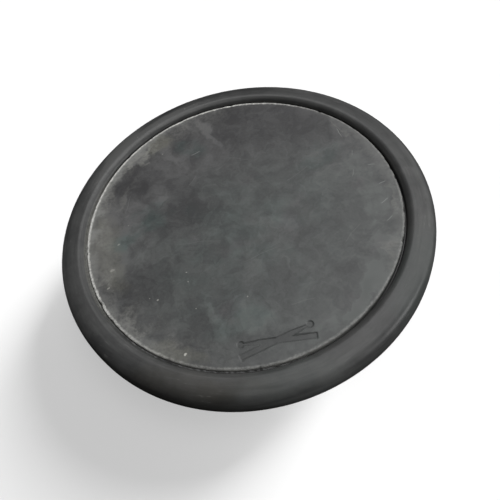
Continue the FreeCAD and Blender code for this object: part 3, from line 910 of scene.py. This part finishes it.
def rim_rubber():
    """Smooth black rubber, handled: streaks round the ring, rubbed patches and dust in the groove, with
    painted light on the inner slope and painted shade in the groove and low on the near wall.
    """
    n = Finish("handled_rim_rubber_with_painted_light")
    out = n.math("SUBTRACT", n.radius(), GROOVE_RADIUS)
    place = n.ragged(9, 2.0, n.ragged(30, 4))
    cloud = n.noise(30, detail=5, rough=0.55, swirl=0.4, shift=(3, 60, 0))
    streak = n.noise(1, detail=5, rough=0.6, place=n.around(30, 2.2))
    fine_streak = n.noise(1, detail=3, rough=0.6, place=n.around(9, 0.7))
    grain = n.noise(1.5, detail=3, rough=0.6, shift=(7, 7, 0))
    smudge = n.times(n.ovals(RIM_SMUDGES, place), n.rise(streak, 0.3, 0.6, 0.5, 1.2))
    # painted highlight along the inner shoulder on the far left
    from_ridge = n.math("ABSOLUTE", n.math("SUBTRACT", out, 5.5))
    ridge_painted_highlight = n.times(n.rise(from_ridge, 4.4, 1.4), n.towards(119, 0.76, 0.98),
                    n.rise(streak, 0.25, 0.6, 0.5, 1.0), n.rise(grain, 0.3, 0.65, 0.6, 1.2))
    # painted light on the rim's inner slope on the near side, and a painted highlight on it on the far side
    near_slope_painted_light = n.times(n.rise(out, 0.5, 1.9), n.rise(out, 5.0, 3.0), n.towards(262, 0.2, 0.75))
    far_slope_painted_highlight = n.times(n.rise(out, 1.1, 2.3), n.rise(out, 6.0, 4.3), n.towards(66, 0.6, 0.92))
    blotch = n.rise(n.noise(10, detail=3, swirl=0.6, place=place, shift=(6, 1, 0)), 0.44, 0.56)
    tone = n.total((n.rise(cloud, 0.3, 0.7), 0.3), (n.rise(streak, 0.32, 0.7), 0.17), (smudge, 0.7),
                   (ridge_painted_highlight, 0.85), (near_slope_painted_light, 0.3), (far_slope_painted_highlight, 0.4), (blotch, 0.1),
                   (n.rise(fine_streak, 0.4, 0.75), 0.12), (n.rise(grain, 0.3, 0.7), 0.06))
    colour = n.mix(n.cap(tone), (0.030, 0.0305, 0.031), (0.100, 0.101, 0.099))
    colour = n.mix(n.times(n.ovals(RIM_TEAL, place), 0.35), colour, (0.064, 0.082, 0.075))
    colour = n.mix(n.times(n.ovals(RIM_BROWN, place), 0.25), colour, (0.080, 0.072, 0.056))
    # pale dust packed in the groove, and painted shade in the rest of it
    colour = groove_dust_and_painted_shade(n, out, colour)
    # painted shade: the lower part of the rim's wall on the near side is darkened
    low = n.times(n.rise(n.z, WALL_TOP + 5.6, WALL_TOP - 0.9), n.towards(262, 0.3, 0.9))
    colour = n.mix(n.times(low, 0.7), colour, (0.010, 0.010, 0.010))
    patchy = n.rise(n.noise(14, detail=3, shift=(2, 2, 9)), 0.5, 0.62)
    scuff = n.times(n.rise(fine_streak, 0.62, 0.74), patchy)
    colour = n.mix(n.times(scuff, 0.5), colour, (0.22, 0.22, 0.21))
    ridge_specks = n.times(n.specks(2.4, 0.6, 0.4), ridge_painted_highlight)
    specks = n.total((n.specks(9, 0.7, 0.22, (1, 5, 3)), 0.5), (ridge_specks, 0.8))
    colour = n.mix(specks, colour, (0.36, 0.36, 0.33))
    roughness = n.total((1.0, 0.33), (cloud, 0.10), (smudge, 0.1), (scuff, 0.15))
    height = n.total((n.noise(0.9, detail=2), 0.02), (grain, 0.02), (streak, 0.03), (scuff, -0.03),
                     (n.noise(6, detail=3), 0.05))
    return n.surface(colour, roughness, height, Specular_IOR_Level=0.5)


def foot_rubber():
    """Moulded black rubber, greyed where it rubs the floor."""
    n = Finish("foot_rubber")
    cloud = n.noise(5, detail=5)
    low = n.rise(n.z, 1.4, 0.1)
    dust = n.times(low, n.rise(n.noise(1.2, detail=4, shift=(3, 1, 0)), 0.35, 0.65))
    colour = n.mix(n.rise(cloud, 0.3, 0.7), (0.022, 0.022, 0.023), (0.045, 0.045, 0.046))
    colour = n.mix(n.times(dust, 0.55), colour, (0.19, 0.18, 0.16))
    height = n.total((n.noise(0.5, detail=2), 0.02), (dust, 0.03))
    return n.surface(colour, n.total((1.0, 0.5), (cloud, 0.15), (dust, 0.2)), height)


def cushion_foam():
    """Dark closed-cell foam with small round cells and larger torn ones."""
    n = Finish("closed_cell_foam")
    cells = n.add("ShaderNodeTexVoronoi")
    n.plug(cells.inputs["Vector"], n.place)
    n.plug(cells.inputs["Scale"], 1 / CELL_SIZE)
    wall = n.rise(cells.outputs["Distance"], 0.2, 0.65)
    cloud = n.noise(6, detail=4)
    colour = n.mix(wall, (0.045, 0.045, 0.05), (0.11, 0.11, 0.12))
    colour = n.mix(n.rise(cloud, 0.4, 0.7), colour, (0.075, 0.073, 0.078))
    torn = n.specks(2.4, 0.7, 0.3)
    return n.surface(colour, n.total((1.0, 0.82), (cloud, 0.12)), n.total((wall, 0.12), (torn, -0.2)))


def moulded_plastic(name, seed):
    """Black ABS with the fine texture of its mould, faint flow clouds, scuffs and settled dust."""
    n = Finish(name)
    grain = n.noise(0.45, detail=2, shift=(seed, 0, 0))
    cloud = n.noise(26, detail=5, swirl=0.4, shift=(0, seed, 0))
    patch = n.rise(n.noise(11, detail=4, shift=(seed, seed, 0)), 0.52, 0.66)
    scuff = n.times(patch, n.rise(n.noise(1.0, detail=3, stretch=(0.22, 1, 1)), 0.5, 0.68))
    dust = n.times(n.rise(n.noise(1.8, detail=5, rough=0.65), 0.5, 0.72), n.rise(cloud, 0.4, 0.65))
    colour = n.mix(n.rise(cloud, 0.3, 0.7), (0.020, 0.020, 0.021), (0.032, 0.032, 0.033))
    colour = n.mix(n.times(scuff, 0.4), colour, (0.13, 0.13, 0.13))
    colour = n.mix(n.times(dust, 0.2), colour, (0.2, 0.19, 0.17))
    roughness = n.total((1.0, 0.38), (cloud, 0.14), (scuff, 0.2), (dust, 0.2))
    height = n.total((grain, 0.035), (scuff, -0.02), (n.noise(9, detail=2), 0.05))
    return n.surface(colour, roughness, height)


def plywood():
    """Birch ply: long grain on the faces, and five plies that show as light and dark bands on the side."""
    n = Finish("birch_plywood")
    warped = n.ragged(30, 5)
    grain = n.noise(1.1, detail=5, rough=0.65, place=warped, stretch=(0.05, 1, 1))
    figure = n.noise(9, detail=3, swirl=0.8, place=warped, stretch=(0.12, 1, 0.2))
    pores = n.rise(n.noise(0.5, detail=2, place=warped, stretch=(0.06, 1, 1)), 0.6, 0.72)
    two_plies = 2 * (BOARD_TOP - DECK_TOP) / PLIES
    ply = n.math("FRACT", n.times(n.math("SUBTRACT", n.z, DECK_TOP), 1 / two_plies))
    cross_ply = n.times(n.rise(ply, 0.48, 0.52), n.rise(ply, 1.0, 0.96))
    at_side = n.rise(n.radius(), BOARD_RADIUS - 0.3, BOARD_RADIUS - 0.1)
    colour = n.mix(n.rise(figure, 0.3, 0.7), (0.46, 0.32, 0.19), (0.60, 0.45, 0.29))
    colour = n.mix(n.times(n.rise(grain, 0.4, 0.7), 0.45), colour, (0.36, 0.23, 0.12))
    colour = n.mix(n.times(pores, 0.5), colour, (0.22, 0.13, 0.07))
    colour = n.mix(n.times(cross_ply, at_side, 0.6), colour, (0.25, 0.15, 0.08))
    height = n.total((grain, 0.04), (pores, -0.05), (n.times(cross_ply, at_side), -0.05))
    return n.surface(colour, n.total((1.0, 0.55), (figure, 0.15), (pores, 0.1)), height)


def zinc_steel(name, seed, tint=(0.60, 0.61, 0.62)):
    """Zinc-plated steel: bluish clouds, dull passivated patches, drawn lines and dark flecks."""
    n = Finish(name)
    cloud = n.noise(5, detail=5, swirl=0.5, shift=(seed, 0, 0))
    lines = n.noise(0.6, detail=3, shift=(0, seed, 0), stretch=(0.15, 1, 1))
    dull = n.rise(n.noise(2.2, detail=5, shift=(seed, seed, 0)), 0.5, 0.68)
    flecks = n.specks(2.4, 0.35, 0.3, (seed, 0, 0))
    colour = n.mix(n.rise(cloud, 0.3, 0.7), tint, tuple(c * k for c, k in zip(tint, (0.80, 0.84, 0.90))))
    colour = n.mix(n.times(dull, 0.45), colour, (0.34, 0.33, 0.30))
    colour = n.mix(n.times(flecks, 0.6), colour, (0.16, 0.13, 0.10))
    roughness = n.total((1.0, 0.24), (cloud, 0.14), (dull, 0.2), (flecks, 0.25))
    height = n.total((lines, 0.012), (dull, 0.008), (flecks, -0.02))
    return n.surface(colour, roughness, height, Metallic=1.0)


def turned_brass():
    """Brass turned on a lathe: fine rings round the axis, and brown tarnish."""
    n = Finish("turned_brass")
    rings = n.noise(1, detail=3, rough=0.6, place=n.around(40, 0.22))
    tarnish = n.rise(n.noise(3.2, detail=5, swirl=0.5), 0.45, 0.68)
    colour = n.mix(n.rise(rings, 0.3, 0.7), (0.72, 0.50, 0.22), (0.82, 0.62, 0.32))
    colour = n.mix(n.times(tarnish, 0.5), colour, (0.32, 0.19, 0.08))
    height = n.total((rings, 0.02), (tarnish, 0.01))
    return n.surface(colour, n.total((1.0, 0.2), (rings, 0.12), (tarnish, 0.22)), height, Metallic=1.0)


def dress(piece, material):
    """Gives a piece its only material."""
    piece.data.materials.clear()
    piece.data.materials.append(material)


def add_soft_piece(piece, node, material):
    """Puts a rebuilt piece in place of its CAD node."""
    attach(piece, "root")
    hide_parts(node)
    dress(piece, material)


add_soft_piece(make_playing_disc(), "playing_disc", worn_disc_rubber())
add_soft_piece(make_rim_ring(), "rim_ring", rim_rubber())
add_soft_piece(make_foam(), "foam_cushion", cushion_foam())
add_soft_piece(make_feet(), "rubber_feet", foot_rubber())

RIGID = {
    "backing_board": plywood(),
    "upper_frame": moulded_plastic("frame_plastic", 3),
    "bottom_cover": moulded_plastic("cover_plastic", 11),
    "case_screws": zinc_steel("case_screw_zinc", 2),
    "foot_washers": zinc_steel("washer_zinc", 5),
    "foot_screws": zinc_steel("foot_screw_zinc", 7),
    "mount_screws": zinc_steel("mount_screw_zinc", 9),
    "mount_plate": zinc_steel("plate_zinc", 13, (0.56, 0.55, 0.52)),
    "mount_bush": turned_brass(),
}
for node, material in RIGID.items():
    dress(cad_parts[node], material)


# ---------------------------------------------------------------- stage

def make_floor():
    """Pale to the camera, and dark to everything else, so that it throws no light up at the pad."""
    square = ((-1, -1), (1, -1), (1, 1), (-1, 1))
    corners = [(x * FLOOR_HALF, y * FLOOR_HALF, -FLOOR_DROP) for x, y in square]
    floor = mesh_piece("floor", corners, [(0, 1, 2, 3)])
    n = Nodes(bpy.data.materials.new("pale_floor"))
    pale = n.add("ShaderNodeBsdfDiffuse")
    n.plug(pale.inputs["Color"], (FLOOR_SHADE, FLOOR_SHADE, FLOOR_SHADE))
    glow = n.add("ShaderNodeEmission")
    n.plug(glow.inputs["Strength"], FLOOR_GLOW)
    lit = n.add("ShaderNodeAddShader")
    n.plug(lit.inputs[0], pale.outputs[0])
    n.plug(lit.inputs[1], glow.outputs[0])
    dark = n.add("ShaderNodeBsdfDiffuse")
    n.plug(dark.inputs["Color"], (0.02, 0.02, 0.02))
    output = n.add("ShaderNodeOutputMaterial")
    n.plug(output.inputs["Surface"], n.for_camera(lit.outputs[0], dark.outputs[0]))
    dress(floor, n.owner)
    return floor


def light_group(name, member):
    """A collection of one object, for a light's links."""
    group = bpy.data.collections.new(name)
    group.objects.link(member)
    return group


def make_floor_light(floor):
    """A low, broad sun that only the floor receives and only the backing board blocks.

    It gives the pad a long soft shadow that is a little narrower than the rim.
    """
    data = bpy.data.lights.new("floor_sun", "SUN")
    data.energy = FLOOR_SUN_ENERGY
    data.angle = math.radians(FLOOR_SUN_WIDTH)
    lamp = put_in_scene("floor_sun", data)
    away = direction(FLOOR_SUN_AZIMUTH, FLOOR_SUN_ELEVATION)
    lamp.rotation_euler = away.to_track_quat("Z", "Y").to_euler()
    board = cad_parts["backing_board"]
    lamp.light_linking.receiver_collection = light_group("lit_by_floor_sun", floor)
    lamp.light_linking.blocker_collection = light_group("blocks_floor_sun", board)


def make_world():
    """White to the camera, and a dark room with soft lights to everything else."""
    world = bpy.data.worlds.new("studio")
    bpy.context.scene.world = world
    n = Nodes(world)
    where = n.add("ShaderNodeTexCoord").outputs["Generated"]
    total = 0.0
    for azimuth, elevation, half, strength in SKY_LIGHTS:
        facing = n.vector_math("DOT_PRODUCT", where, direction(azimuth, elevation))
        edge = math.cos(math.radians(half))
        core = math.cos(math.radians(SKY_CORE * half))
        glow = n.rise(facing, edge, core, 0.0, strength)
        total = n.math("ADD", total, glow)
    sky = n.add("ShaderNodeBackground")
    n.plug(sky.inputs["Strength"], total)
    white = n.add("ShaderNodeBackground")
    n.plug(white.inputs["Color"], (1, 1, 1))
    output = n.add("ShaderNodeOutputWorld")
    n.plug(output.inputs["Surface"], n.for_camera(white.outputs[0], sky.outputs[0]))


def make_camera():
    """Looks at the pad from its -Y side, well above it and rolled."""
    e = math.radians(CAMERA_ELEVATION)
    roll = math.radians(CAMERA_ROLL)
    back = Vector((0, -math.cos(e), math.sin(e)))
    right = Vector((1, 0, 0))
    up = Vector((0, math.sin(e), math.cos(e)))
    radius = RIM_RADIUS * MM
    place = radius * (CAMERA_DISTANCE * back + CAMERA_UPWARDS * up)
    place.z += DISC_TOP * MM
    x_axis = math.cos(roll) * right + math.sin(roll) * up
    y_axis = math.cos(roll) * up - math.sin(roll) * right
    matrix = Matrix((x_axis, y_axis, back)).transposed().to_4x4()
    matrix.translation = place
    data = bpy.data.cameras.new("camera")
    data.sensor_width = SENSOR_WIDTH
    data.lens = LENS
    data.clip_start = 0.01
    camera = put_in_scene("camera", data)
    camera.matrix_world = matrix
    bpy.context.scene.camera = camera


make_floor_light(make_floor())
make_world()
make_camera()
bpy.context.scene.view_settings.view_transform = "Standard"
